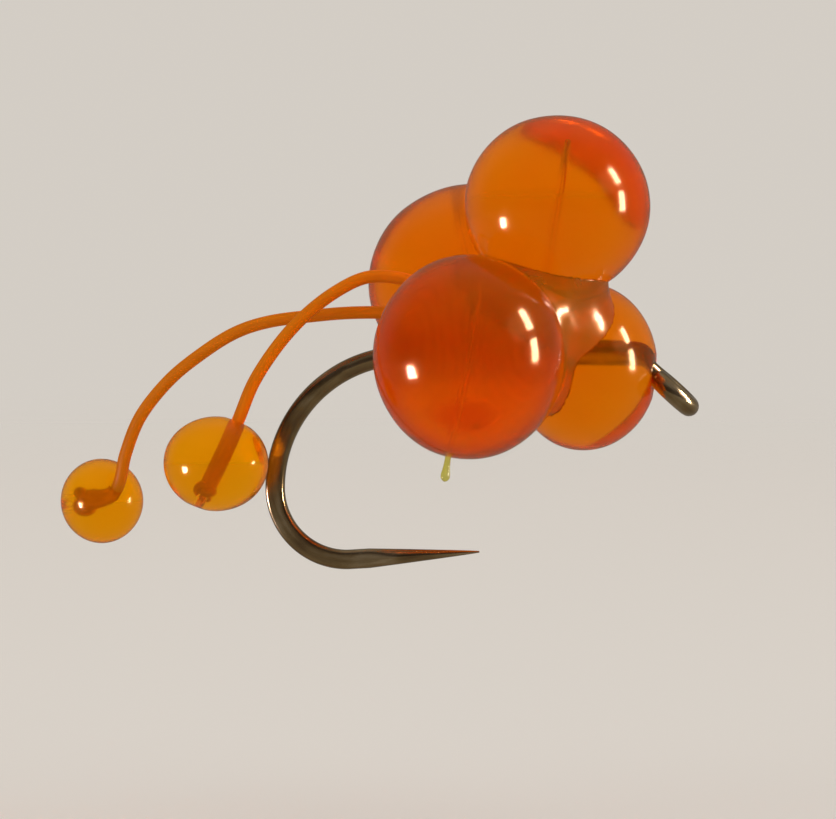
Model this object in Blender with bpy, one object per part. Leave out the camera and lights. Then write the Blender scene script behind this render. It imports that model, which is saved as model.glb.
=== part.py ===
"""Egg cluster fly: a curved hook with four soft eggs, clear resin and two elastic tail strands.

Lengths below are in millimetres and become metres when a mesh is made. The origin is the centre
of the hook's eye. +X runs from the bend to the eye, +Z is up, and the hook lies in the plane y = 0.
"""

import math

import bmesh
import bpy
from mathutils import Vector

MM = 0.001
GAP = 0.03  # clearance that touching pieces keep, scaled down with an object 22 mm long

# Hook
WIRE_RADIUS = 0.34
EYE_WIRE_RADIUS = 0.34
EYE_RADIUS = 0.70  # from the ring's centre to the middle of its wire
EYE_DROP = math.radians(42.5)  # how far the eye turns down from the shank
EYE_OPENS_AT = math.radians(35.0)  # where the neck joins the ring, measured from its root
EYE_CLOSES_AT = math.radians(338.0)  # where the wire's end butts against the neck
NECK_BEND_RADIUS = 1.0
SHANK_HEIGHT = 1.24
SHANK_END_X = -9.2
UPPER_BEND_RADIUS = 4.6
LOWER_BEND_RADIUS = 2.47
POINT_RISE = math.radians(3.8)
POINT_LENGTH = 4.48  # straight wire from the bend to the tip
TAPER_LENGTH = 3.8
TAPER_POWER = 0.9
TIP_RADIUS = 0.03
FORGED_HALF = 0.26  # half the wire's thickness where the bend is hammered flat
FORGED_FROM = 0.3  # share of the upper bend at which the hammered flats begin
FORGED_BY = 0.7  # and at which they reach their full depth
FLAT_SQUARING = 2.5  # how much fuller a section's corners get for each mm taken off its sides
POINT_SHARES = (0.78, 0.58, 0.4, 0.24, 0.12, 0.04, 0.0)  # stations on the taper, from its root
HOOK_SIDES = 12

# Eggs: centre and half sizes along X, Y and Z
EGGS = {
    "egg_near": (Vector((-6.69, -3.95, 1.32)), Vector((3.22, 3.25, 3.44))),
    "egg_rear": (Vector((-7.18, 3.60, 3.69)), Vector((3.77, 3.50, 3.49))),
    "egg_top": (Vector((-3.92, -1.45, 6.38)), Vector((3.16, 3.10, 3.09))),
    "egg_lower": (Vector((-3.10, 0.30, 0.86)), Vector((2.51, 2.75, 2.89))),
}
SMALL_EGGS = {
    "near": (Vector((-15.53, -2.20, -2.41)), Vector((1.80, 1.65, 1.62))),
    "far": (Vector((-20.21, 1.80, -3.97)), Vector((1.45, 1.45, 1.48))),
}
EGG_SEGMENTS = 28
EGG_RINGS = 16
SMALL_EGG_SEGMENTS = 20
SMALL_EGG_RINGS = 12

# Monofilament stalks that hold the eggs, each from its outer end to the wrap on the shank
STALK_RADIUS = 0.10
STALK_SIDES = 8
BULB_RADIUS = 0.16
BULB_LENGTH = 0.62
BULB_PROFILE = ((0.35, 0.83), (0.6, 1.0), (0.8, 0.96), (0.94, 0.55), (1.0, 0.2))  # along, radius
STALK_ROUTES = {
    "stalk_near": [
        (-7.47, -3.95, -2.57), (-7.32, -3.95, -1.60), (-6.75, -3.90, 1.00), (-6.58, -3.35, 2.90),
        (-6.60, -2.40, 4.00), (-6.68, -1.75, 4.20), (-6.75, -1.15, 3.75), (-6.68, -0.75, 3.00),
        (-6.50, -0.42, 2.45), (-6.38, -0.31, 2.10), (-6.34, -0.28, 1.76),
    ],
    "stalk_top": [
        (-3.42, -3.48, 8.50), (-3.66, -2.51, 7.50), (-3.92, -1.45, 6.38), (-4.40, 0.50, 4.33),
        (-4.75, 0.48, 3.72), (-5.30, 0.22, 3.15), (-5.95, 0.06, 2.62), (-6.30, 0.02, 2.20),
        (-6.36, 0.00, 1.76),
    ],
    "stalk_rear": [
        (-7.90, 7.10, 5.26), (-7.70, 6.10, 4.82), (-7.18, 3.60, 3.69), (-6.60, 0.79, 2.42),
        (-6.46, 0.42, 2.10), (-6.40, 0.27, 1.74),
    ],
}
BULBED_STALKS = ("stalk_near", "stalk_rear")

# Elastic tail strands, each from its tied end to the knot inside its small egg
STRAND_RADIUS = 0.22
STRAND_SIDES = 8
STRAND_ROUTES = {
    "near": [
        (-7.00, -0.24, 1.80), (-7.40, -0.24, 1.92), (-7.85, -0.26, 2.50), (-8.25, -0.28, 3.15),
        (-8.80, -0.31, 3.68), (-9.55, -0.35, 3.93), (-10.58, -0.45, 3.93), (-11.59, -0.65, 3.45),
        (-12.60, -0.90, 2.66), (-13.49, -1.20, 1.66), (-14.30, -1.52, 0.39), (-14.80, -1.85, -0.90),
        (-15.25, -2.10, -2.00), (-15.80, -2.34, -3.10),
    ],
    "far": [
        (-7.00, 0.24, 1.80), (-7.50, 0.24, 1.86), (-8.30, 0.26, 2.22), (-9.10, 0.28, 2.55),
        (-10.00, 0.30, 2.70), (-11.20, 0.31, 2.70), (-12.43, 0.32, 2.60), (-14.03, 0.36, 2.39),
        (-15.26, 0.40, 1.99), (-16.47, 0.45, 1.24), (-17.61, 0.50, 0.31), (-18.60, 0.55, -0.92),
        (-19.13, 0.58, -2.20), (-19.34, 0.66, -3.10), (-19.62, 1.02, -3.62), (-20.05, 1.55, -3.86),
        (-20.60, 2.20, -4.00),
    ],
}
# Route points at which each strand bends, and the names of the lengths that start there
STRAND_HINGES = {"near": (5, 9), "far": (4, 7, 10)}
STRAND_LENGTHS = {"near": ("base", "tip"), "far": ("base", "middle", "tip")}
KNOT_RADIUS = 0.33
KNOT_SEGMENTS = 12
KNOT_RINGS = 8

# Thread wrap along the shank: x, height of its centre, half height and half width
WRAP_SECTIONS = [
    (-9.30, 1.24, 0.45, 0.45), (-8.90, 1.34, 0.56, 0.54), (-8.40, 1.50, 0.72, 0.62),
    (-6.50, 1.50, 0.72, 0.62), (-6.10, 1.40, 0.62, 0.56), (-5.85, 1.30, 0.50, 0.48),
]
WRAP_SIDES = 20

# Clear resin that fills the middle of the cluster, before the eggs are cut out of it
RESIN_CENTRE = Vector((-4.75, -1.75, 2.95))
RESIN_HALF = Vector((2.75, 2.05, 2.15))
RESIN_SEGMENTS = 28
RESIN_RINGS = 16

ROUTE_STEPS = 3  # stations on each span of a smooth route
BALL_LATITUDES = tuple(math.radians(a) for a in (35.0, 65.0, 84.0))  # rings of a rounded end
SHARP_ANGLE = math.radians(50.0)


def clear_scene():
    for thing in list(bpy.data.objects):
        bpy.data.objects.remove(thing, do_unlink=True)


def make_material(name, colour, roughness, metallic=0.0):
    material = bpy.data.materials.new(name)
    material.use_nodes = True
    shader = material.node_tree.nodes["Principled BSDF"]
    shader.inputs["Base Color"].default_value = (*colour, 1.0)
    shader.inputs["Roughness"].default_value = roughness
    shader.inputs["Metallic"].default_value = metallic
    return material


def make_object(name, shape, origin, material, parent=None):
    """Turn a bmesh in millimetres into an object whose origin is at the given point."""
    bmesh.ops.recalc_face_normals(shape, faces=shape.faces)
    for vertex in shape.verts:
        vertex.co = (vertex.co - origin) * MM
    mesh = bpy.data.meshes.new(name)
    shape.to_mesh(mesh)
    shape.free()
    mesh.shade_smooth()
    mesh.set_sharp_from_angle(angle=SHARP_ANGLE)
    mesh.materials.append(material)
    thing = bpy.data.objects.new(name, mesh)
    bpy.context.scene.collection.objects.link(thing)
    place(thing, origin, parent)
    return thing


def place(thing, origin, parent):
    """Put an object at a point in the row frame, under its parent empty where it has one."""
    thing.location = origin * MM
    if parent is not None:
        thing.parent = parent
        thing.location = (origin - Vector(parent["centre"])) * MM


def make_hinge(name, centre, parent=None):
    hinge = bpy.data.objects.new(name, None)
    hinge.empty_display_size = MM
    hinge["centre"] = centre
    bpy.context.scene.collection.objects.link(hinge)
    place(hinge, centre, parent)
    return hinge


def make_cutter(name, shape):
    cutter = make_object(name, shape, Vector(), CUTTER_MATERIAL)
    cutter.hide_render = True
    cutter.display_type = "WIRE"
    return cutter


def carve(thing, *cutters):
    for cutter in cutters:
        cut = thing.modifiers.new("cut_" + cutter.name, "BOOLEAN")
        cut.operation = "DIFFERENCE"
        cut.solver = "EXACT"
        cut.object = cutter


def sweep(stations, sides):
    """A closed tube through stations of centre, up, side, half height and half width.

    A sixth value caps the half width, which leaves two flat sides on the tube.
    """
    shape = bmesh.new()
    rings = []
    for centre, up, side, tall, wide, flat in stations:
        spread = 1.0 + FLAT_SQUARING * max(0.0, wide - flat)
        ring = []
        for k in range(sides):
            angle = 2.0 * math.pi * k / sides
            across = max(-flat, min(flat, spread * wide * math.sin(angle)))
            ring.append(shape.verts.new(centre + up * (tall * math.cos(angle)) + side * across))
        rings.append(ring)
    for first, second in zip(rings, rings[1:]):
        for k in range(sides):
            after = (k + 1) % sides
            shape.faces.new((first[k], first[after], second[after], second[k]))
    shape.faces.new(rings[0])
    shape.faces.new(rings[-1])
    return shape


def smooth_route(points):
    """Points along a Catmull-Rom curve through the given ones, ROUTE_STEPS to each span."""
    knots = [Vector(p) for p in points]
    knots = [2 * knots[0] - knots[1]] + knots + [2 * knots[-1] - knots[-2]]
    route = []
    for a, b, c, d in zip(knots, knots[1:], knots[2:], knots[3:]):
        for step in range(ROUTE_STEPS):
            t = step / ROUTE_STEPS
            bend = 2 * b + (c - a) * t + (2 * a - 5 * b + 4 * c - d) * t**2
            route.append((bend + (3 * b - a - 3 * c + d) * t**3) / 2)
    route.append(knots[-2])
    return route


def shortened(route, length):
    """The route without its last stretch of the given length."""
    kept = list(route)
    while (kept[-1] - kept[-2]).length <= length:
        length -= (kept[-1] - kept[-2]).length
        kept.pop()
    kept[-1] = kept[-1] + (kept[-2] - kept[-1]).normalized() * length
    return kept


def tube_stations(route, radius, ball_start=False):
    """Round stations along a route, with a half ball centred on its start where asked for."""
    spans = [(b - a).normalized() for a, b in zip(route, route[1:])]
    middle = [(a + b).normalized() for a, b in zip(spans, spans[1:])]
    tangents = [spans[0]] + middle + [spans[-1]]
    side = tangents[0].cross(Vector((0, 0, 1)).cross(tangents[0]) + Vector((0, 1, 0))).normalized()
    stations = []
    for centre, tangent in zip(route, tangents):
        side = (side - tangent * side.dot(tangent)).normalized()
        stations.append((centre, tangent.cross(side), side, radius, radius, radius))
    if ball_start:
        stations = ball_stations(stations[0], -tangents[0], radius)[::-1] + stations
    return stations


def ball_stations(end, outward, radius):
    """Stations that round off a tube's end station, going outward."""
    centre, up, side = end[:3]
    stations = []
    for latitude in BALL_LATITUDES:
        small = radius * math.cos(latitude)
        point = centre + outward * (radius * math.sin(latitude))
        stations.append((point, up, side, small, small, small))
    return stations


def ball(centre, half, segments, rings):
    shape = bmesh.new()
    bmesh.ops.create_uvsphere(shape, u_segments=segments, v_segments=rings, radius=1.0)
    for vertex in shape.verts:
        vertex.co = Vector(c * h for c, h in zip(vertex.co, half)) + centre
    return shape


def contact_planes(name):
    """The flat faces where a soft egg is pressed against its neighbours: a point and a direction."""
    centre, half = EGGS[name]
    planes = []
    for other, (other_centre, other_half) in EGGS.items():
        if other == name:
            continue
        toward = (other_centre - centre).normalized()
        reach = Vector(h * t for h, t in zip(half, toward)).length
        other_reach = Vector(h * t for h, t in zip(other_half, toward)).length
        overlap = reach + other_reach - (other_centre - centre).length
        if overlap > -GAP:
            planes.append((centre + toward * (reach - overlap / 2 - GAP / 2), toward))
    return planes


def egg_shape(name, extra=0.0):
    """An egg pressed flat at its contacts, grown all over by extra."""
    centre, half = EGGS[name]
    shape = ball(centre, half + Vector((extra, extra, extra)), EGG_SEGMENTS, EGG_RINGS)
    for point, toward in contact_planes(name):
        for vertex in shape.verts:
            beyond = (vertex.co - point).dot(toward) - extra
            if beyond > 0.0:
                vertex.co -= toward * beyond
    return shape


def cubic(handles, t):
    """A point on a cubic curve and the direction the curve has there."""
    a, b, c, d = handles
    s = 1 - t
    point = a * s**3 + b * (3 * s * s * t) + c * (3 * s * t * t) + d * t**3
    heading = (b - a) * (s * s) + (c - b) * (2 * s * t) + (d - c) * (t * t)
    return point, heading.normalized()


def hook_stations(extra=0.0):
    """Stations along the hook's wire, from the butt end of its eye round to the needle point."""
    along = Vector((math.cos(EYE_DROP), 0, -math.sin(EYE_DROP)))
    over = Vector((math.sin(EYE_DROP), 0, math.cos(EYE_DROP)))
    sideways = Vector((0, 1, 0))
    eye = EYE_WIRE_RADIUS + extra
    wire = WIRE_RADIUS + extra
    stations = []

    # Eye ring
    steps = 20
    for k in range(steps + 1):
        angle = EYE_CLOSES_AT + (EYE_OPENS_AT - EYE_CLOSES_AT) * k / steps
        outward = sideways * math.sin(angle) - along * math.cos(angle)
        stations.append((outward * EYE_RADIUS, over, outward, eye, eye, eye))

    # Neck: a curve from the ring to the start of the neck's bend
    corner = SHANK_HEIGHT / math.sin(EYE_DROP)
    setback = NECK_BEND_RADIUS * math.tan(EYE_DROP / 2)
    start = stations[-1][0]
    leave = -(along * math.sin(EYE_OPENS_AT) + sideways * math.cos(EYE_OPENS_AT))
    end = -along * (corner - setback)
    reach = (end - start).length * 0.4
    handles = (start, start + leave * reach, end + along * reach, end)
    steps = 5
    for k in range(1, steps + 1):
        centre, heading = cubic(handles, k / steps)
        radius = eye + (wire - eye) * k / steps
        stations.append((centre, over, heading.cross(over), radius, radius, radius))

    # Neck bend, up to the straight shank
    bend_centre = end - over * NECK_BEND_RADIUS
    steps = 4
    for k in range(1, steps + 1):
        angle = EYE_DROP * (1 - k / steps)
        up = Vector((math.sin(angle), 0, math.cos(angle)))
        stations.append((bend_centre + up * NECK_BEND_RADIUS, up, sideways, wire, wire, wire))
    shank_middle = Vector((SHANK_END_X / 2, 0, SHANK_HEIGHT))
    stations.append((shank_middle, Vector((0, 0, 1)), sideways, wire, wire, wire))

    # Upper and lower bends, hammered flat from part of the way round the upper one
    upper_centre = Vector((SHANK_END_X, 0, SHANK_HEIGHT - UPPER_BEND_RADIUS))
    lower_centre = upper_centre - Vector((UPPER_BEND_RADIUS - LOWER_BEND_RADIUS, 0, 0))
    steps = 12
    for k in range(steps + 1):
        angle = math.pi / 2 * k / steps
        up = Vector((-math.sin(angle), 0, math.cos(angle)))
        forged = min(1.0, max(0.0, (k / steps - FORGED_FROM) / (FORGED_BY - FORGED_FROM)))
        flat = wire - (WIRE_RADIUS - FORGED_HALF) * forged
        stations.append((upper_centre + up * UPPER_BEND_RADIUS, up, sideways, wire, wire, flat))
    steps = 11
    forged_flat = FORGED_HALF + extra
    for k in range(1, steps + 1):
        angle = math.pi / 2 + (math.pi / 2 + POINT_RISE) * k / steps
        up = Vector((-math.sin(angle), 0, math.cos(angle)))
        centre = lower_centre + up * LOWER_BEND_RADIUS
        stations.append((centre, up, sideways, wire, wire, forged_flat))

    # Point: straight, then a long rounded taper
    bottom, up = stations[-1][0], stations[-1][1]
    heading = Vector((math.cos(POINT_RISE), 0, math.sin(POINT_RISE)))
    taper_root = bottom + heading * (POINT_LENGTH - TAPER_LENGTH)
    stations.append((taper_root, up, sideways, wire, wire, forged_flat))
    for share in POINT_SHARES:
        radius = TIP_RADIUS + (WIRE_RADIUS - TIP_RADIUS) * share**TAPER_POWER + extra
        centre = bottom + heading * (POINT_LENGTH - TAPER_LENGTH * share)
        stations.append((centre, up, sideways, radius, radius, min(radius, forged_flat)))
    return stations


def wrap_shape(extra=0.0):
    """The wound thread as one sleeve, grown all over by extra."""
    last = len(WRAP_SECTIONS) - 1
    stations = []
    for k, (x, height, tall, wide) in enumerate(WRAP_SECTIONS):
        if k == 0:
            x -= extra
        if k == last:
            x += extra
        centre = Vector((x, 0, height))
        reach = wide + extra
        stations.append((centre, Vector((0, 0, 1)), Vector((0, 1, 0)), tall + extra, reach, reach))
    return sweep(stations, WRAP_SIDES)


def stalk_shape(name, extra=0.0):
    """A stalk in one piece, with a melted drop on the end of those that stand out of their egg."""
    route = smooth_route(STALK_ROUTES[name])
    stations = tube_stations(route, STALK_RADIUS + extra)
    if name in BULBED_STALKS:
        outward = (route[0] - route[1]).normalized()
        centre, up, side = stations[0][:3]
        drop = []
        for along, swell in BULB_PROFILE:
            radius = BULB_RADIUS * swell + extra
            point = centre + outward * (BULB_LENGTH * (along - 0.5))
            drop.append((point, up, side, radius, radius, radius))
        stations = drop[::-1] + stations[2:]
    return sweep(stations, STALK_SIDES)


def strand_pieces(which, extra=0.0):
    """The strand cut at its hinges: the tied root first, and the length with the knot last."""
    route = smooth_route(STRAND_ROUTES[which])
    cuts = [0] + [k * ROUTE_STEPS for k in STRAND_HINGES[which]] + [len(route) - 1]
    radius = STRAND_RADIUS + extra
    pieces = []
    for k, (start, end) in enumerate(zip(cuts, cuts[1:])):
        at_knot = end == cuts[-1]
        cut_back = KNOT_RADIUS + GAP - extra if at_knot else STRAND_RADIUS + GAP
        piece = shortened(route[start:end + 1], cut_back)
        pieces.append(sweep(tube_stations(piece, radius, ball_start=k > 0), STRAND_SIDES))
    return pieces


clear_scene()
STEEL = make_material("bronzed_steel", (0.20, 0.15, 0.08), 0.25, 1.0)
THREAD = make_material("waxed_thread", (0.16, 0.05, 0.03), 0.6)
EGG = make_material("soft_orange_egg", (0.86, 0.25, 0.02), 0.12)
SMALL_EGG = make_material("soft_amber_egg", (0.90, 0.45, 0.02), 0.12)
STRAND = make_material("orange_elastic", (0.80, 0.20, 0.01), 0.35)
MONO = make_material("olive_monofilament", (0.66, 0.60, 0.14), 0.2)
RESIN = make_material("clear_resin", (0.95, 0.62, 0.50), 0.05)
CUTTER_MATERIAL = make_material("cutter", (0.5, 0.5, 0.5), 1.0)

make_object("hook", sweep(hook_stations(), HOOK_SIDES), Vector(), STEEL)
hook_room = make_cutter("hook_room", sweep(hook_stations(GAP), HOOK_SIDES))

# Stalks and the room each needs in the pieces it passes through
stalk_rooms = {}
for stalk_name in STALK_ROUTES:
    outer_end = Vector(STALK_ROUTES[stalk_name][0])
    make_object(stalk_name, stalk_shape(stalk_name), outer_end, MONO)
    stalk_rooms[stalk_name] = make_cutter(stalk_name + "_room", stalk_shape(stalk_name, GAP))

# Strands: the root stays in the cluster, and the other lengths hang from one hinge each
root_rooms = []
for strand_name in STRAND_ROUTES:
    root_shape, *length_shapes = strand_pieces(strand_name)
    prefix = strand_name + "_strand_"
    make_object(prefix + "root", root_shape, Vector(STRAND_ROUTES[strand_name][0]), STRAND)
    fat_root, *_, fat_tip = strand_pieces(strand_name, GAP)
    root_rooms.append(make_cutter(prefix + "root_room", fat_root))
    hinge = None
    lengths = zip(STRAND_LENGTHS[strand_name], STRAND_HINGES[strand_name], length_shapes)
    for length_name, point_number, length_shape in lengths:
        hinge_centre = Vector(STRAND_ROUTES[strand_name][point_number])
        hinge = make_hinge(prefix + length_name + "_hinge", hinge_centre, hinge)
        make_object(prefix + length_name, length_shape, hinge_centre, STRAND, hinge)

    # Small egg on the tip, held by a knot in a pocket inside it
    egg_centre, egg_half = SMALL_EGGS[strand_name]
    knot_centre = Vector(STRAND_ROUTES[strand_name][-1])
    knot_half = Vector((KNOT_RADIUS, KNOT_RADIUS, KNOT_RADIUS))
    knot = ball(knot_centre, knot_half, KNOT_SEGMENTS, KNOT_RINGS)
    make_object(strand_name + "_stop_knot", knot, knot_centre, STRAND, hinge)
    pocket_half = knot_half + Vector((GAP, GAP, GAP))
    pocket_shape = ball(knot_centre, pocket_half, KNOT_SEGMENTS, KNOT_RINGS)
    pocket = make_cutter(prefix + "pocket", pocket_shape)
    bore = make_cutter(prefix + "bore", fat_tip)
    small_egg_shape = ball(egg_centre, egg_half, SMALL_EGG_SEGMENTS, SMALL_EGG_RINGS)
    small_egg = make_object(strand_name + "_small_egg", small_egg_shape, egg_centre, SMALL_EGG, hinge)
    carve(small_egg, bore, pocket)

# Thread wrap round the shank, the strand roots and the stalks' tied ends
wrap = make_object("thread_wrap", wrap_shape(), Vector((SHANK_END_X, 0, SHANK_HEIGHT)), THREAD)
carve(wrap, hook_room, *root_rooms, *stalk_rooms.values())
wrap_room = make_cutter("wrap_room", wrap_shape(GAP))

# Big eggs, each on its stalk; the lower one is threaded on the shank itself
egg_rooms = []
for egg_name in EGGS:
    egg = make_object(egg_name, egg_shape(egg_name), EGGS[egg_name][0], EGG)
    if egg_name == "egg_lower":
        carve(egg, hook_room)
    else:
        carve(egg, stalk_rooms[egg_name.replace("egg", "stalk")])
    egg_rooms.append(make_cutter(egg_name + "_room", egg_shape(egg_name, GAP)))

# Resin between the eggs
resin_shape = ball(RESIN_CENTRE, RESIN_HALF, RESIN_SEGMENTS, RESIN_RINGS)
resin = make_object("resin_core", resin_shape, RESIN_CENTRE, RESIN)
carve(resin, *egg_rooms, wrap_room, hook_room, *root_rooms, *stalk_rooms.values())
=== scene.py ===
"""Looks of an egg cluster fly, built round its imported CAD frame.

Lengths are in millimetres here and become metres when a mesh is made. The origin is the centre
of the hook's eye, +X runs from the bend to the eye, and +Z is up, as in the CAD.
"""

import math

import bmesh
import bpy
import numpy as np
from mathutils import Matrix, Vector, noise


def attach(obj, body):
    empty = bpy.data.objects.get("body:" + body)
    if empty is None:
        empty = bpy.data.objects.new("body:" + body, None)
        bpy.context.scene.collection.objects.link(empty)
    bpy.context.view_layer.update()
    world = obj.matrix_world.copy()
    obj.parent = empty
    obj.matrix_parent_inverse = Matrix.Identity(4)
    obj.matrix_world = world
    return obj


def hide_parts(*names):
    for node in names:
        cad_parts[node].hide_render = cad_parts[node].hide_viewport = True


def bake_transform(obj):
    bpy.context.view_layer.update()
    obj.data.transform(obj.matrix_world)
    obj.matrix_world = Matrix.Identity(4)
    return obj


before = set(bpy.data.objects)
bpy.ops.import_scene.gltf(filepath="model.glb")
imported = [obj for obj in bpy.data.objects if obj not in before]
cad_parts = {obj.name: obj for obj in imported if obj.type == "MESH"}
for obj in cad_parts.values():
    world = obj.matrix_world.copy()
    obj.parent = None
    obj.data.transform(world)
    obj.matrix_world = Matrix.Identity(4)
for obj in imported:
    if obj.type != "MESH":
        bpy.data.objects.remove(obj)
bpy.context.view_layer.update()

MM = 0.001

# View
VIEW_TARGET = Vector((-8.824, 0.0, -0.624))
VIEW_AZIMUTH = math.radians(6.0)
VIEW_ELEVATION = math.radians(2.5)
VIEW_DISTANCE = 150.0
VIEW_LENS = 187.2

# Stage. The wall stands all round. A surface mirrors it dimmer behind the object, and mirrors a
# dim room on the camera's side.
PALE = (0.655, 0.612, 0.558, 1.0)  # the wall as the camera sees it
WALL = (0.63, 0.583, 0.53, 1.0)  # the wall as it lights the object and shows through it
MIRRORED_WALL = (0.20, 0.18, 0.15)
MIRRORED_ROOM = (0.05, 0.04, 0.035)
ROOM_EDGE = (-0.05, 0.45)  # cosines from straight behind, between which the room becomes the wall
# Soft glows: azimuth, elevation, radius of the core and of the rim, all in degrees, and radiance
GLOWS = [
    (67.0, 26.0, 2.0, 16.0, (2.0, 1.4, 1.1)),
    (-10.0, 82.0, 12.0, 60.0, (0.15, 0.14, 0.13)),
    (-69.0, -13.0, 5.0, 14.0, (0.8, 0.65, 0.8)),
]
FLOOR = (0.84, 0.84, 0.83, 1.0)
MIRRORED_FLOOR = (0.26, 0.25, 0.23, 1.0)  # the same floor where a surface mirrors it
FLOOR_HEIGHT = -16.0
FLOOR_RADIUS = 500.0
FLOOR_SIDES = 96
FLOOR_FADE = (150.0, 420.0)  # distances between which the floor fades into the background
LIGHTS_AIM = Vector((-8.0, 0.0, 1.5))
WINDOW_TINT = (1.0, 0.88, 0.82)
LAMP_TINT = (0.86, 0.74, 1.0)
FILL_TINT = (1.0, 0.98, 0.96)
# Azimuth and elevation in degrees, distance, width and height in metres, radiance, tint, and
# whether glossy surfaces mirror the light. One that they don't mirror only lights the rest.
LIGHTS = {
    "window_upper": (85.0, 30.0, 0.5, 0.08, 0.14, 60.0, WINDOW_TINT, True),
    "window_lower": (85.0, 5.0, 0.5, 0.08, 0.17, 60.0, WINDOW_TINT, True),
    "lamp_left": (-69.0, -13.0, 0.055, 0.010, 0.010, 130.0, LAMP_TINT, True),
    "fill_left": (-45.0, 30.0, 0.6, 0.5, 0.5, 0.5, FILL_TINT, False),
    "fill_right": (50.0, 40.0, 0.6, 0.5, 0.5, 0.5, FILL_TINT, False),
}

# Hook
WIRE_RADIUS = 0.34
EYE_RADIUS = 0.70
EYE_DROP = math.radians(42.5)
EYE_OPENS_AT = math.radians(35.0)
EYE_CLOSES_AT = math.radians(338.0)
NECK_BEND_RADIUS = 1.0
SHANK_HEIGHT = 1.24
SHANK_END_X = -9.2
UPPER_BEND_RADIUS = 4.6
LOWER_BEND_RADIUS = 2.47
POINT_RISE = math.radians(3.8)
POINT_LENGTH = 4.48
TAPER_LENGTH = 3.8
TAPER_POWER = 0.9
TIP_RADIUS = 0.03
TIP_FLARE = 0.05  # by how much the flat sides open out along the taper
EYE_BUTT = ((0.80, 0.05), (0.95, 0.015))  # the wire's end: share of its radius, and length past the ring
FORGED_HALF = 0.26
FORGED_FROM = 0.3  # share of the upper bend at which the wire begins to flatten
FORGED_BY = 0.7
HOOK_SIDES = 48
RING_STEPS = 72
NECK_STEPS = 16
NECK_BEND_STEPS = 14
SHANK_STEPS = 24
BEND_STEPS = 48
POINT_STEPS = 6
TAPER_STEPS = 33

# Eggs: centre and half sizes along X, Y and Z
EGGS = {
    "egg_near": ((-6.69, -3.95, 1.32), (3.22, 3.25, 3.44)),
    "egg_rear": ((-7.18, 3.60, 3.69), (3.77, 3.50, 3.49)),
    "egg_top": ((-3.92, -1.45, 6.38), (3.16, 3.10, 3.09)),
    "egg_lower": ((-3.10, 0.30, 0.86), (2.51, 2.75, 2.89)),
}
SMALL_EGGS = {
    "near": ((-15.53, -2.20, -2.41), (1.80, 1.65, 1.62)),
    "far": ((-20.21, 1.80, -3.97), (1.45, 1.45, 1.48)),
}
PRESS_ROUNDING = 0.10
EGG_WOBBLE = 0.03
EGG_WOBBLE_SIZE = 1.9
FIRST_EGG_SEED = 1.3
EGG_SEED_STEP = 3.7
SMALL_EGG_SEEDS = {"near": 15.0, "far": 14.0}
BORE_ROWS = 40
FINE_STEPS = 600
ACROSS_BORES = (0.31, 0.87, 0.39)  # a direction that no hole runs along
RIM_RINGS = np.array((1.0, 1.2, 1.5, 1.9, 2.5, 3.3))  # rings by a hole's rim, as multiples of its angle
PLAIN_RINGS_FROM = 4.2
RIM_DIP = 0.45  # how deep the skin dips at a rim, and how widely, as shares of the hole's radius
RIM_DIP_WIDTH = 0.7
LOWER_EGG_BEHIND = -6.0  # the shank in front of this X passes through the lower egg
TIGHT = 0.005  # by how much a hole is narrower than what fills it

# Stalks, from the outer end to the wrap on the shank
STALK_RADIUS = 0.10
STALK_ROUTES = {
    "stalk_near": [
        (-7.47, -3.95, -2.57), (-7.32, -3.95, -1.60), (-6.75, -3.90, 1.00), (-6.58, -3.35, 2.90),
        (-6.60, -2.40, 4.00), (-6.68, -1.75, 4.20), (-6.75, -1.15, 3.75), (-6.68, -0.75, 3.00),
        (-6.50, -0.42, 2.45), (-6.38, -0.31, 2.10), (-6.34, -0.28, 1.76),
    ],
    "stalk_top": [
        (-3.42, -3.48, 8.50), (-3.66, -2.51, 7.50), (-3.92, -1.45, 6.38), (-4.40, 0.50, 4.33),
        (-4.75, 0.48, 3.72), (-5.30, 0.22, 3.15), (-5.95, 0.06, 2.62), (-6.30, 0.02, 2.20),
        (-6.36, 0.00, 1.76),
    ],
    "stalk_rear": [
        (-7.90, 7.10, 5.26), (-7.70, 6.10, 4.82), (-7.18, 3.60, 3.69), (-6.60, 0.79, 2.42),
        (-6.46, 0.42, 2.10), (-6.40, 0.27, 1.74),
    ],
}
STALK_STEPS = 8
STALK_SIDES = 20
STALK_BORE = 0.008  # the soft egg closes on its stalk
BARE_STALK = (1.3, 1.9)  # distances from the stalk's outer end between which the egg takes it in
# Melted drop on a stalk's outer end: share of its length, and radius there
DROP_PROFILE = [
    (-0.2, STALK_RADIUS), (0.1, 0.112), (0.35, 0.133), (0.6, 0.16),
    (0.8, 0.154), (0.94, 0.088), (0.985, 0.045), (1.0, 0.012),
]
DROP_LENGTH = 0.62
DROP_ROWS = 26

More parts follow.
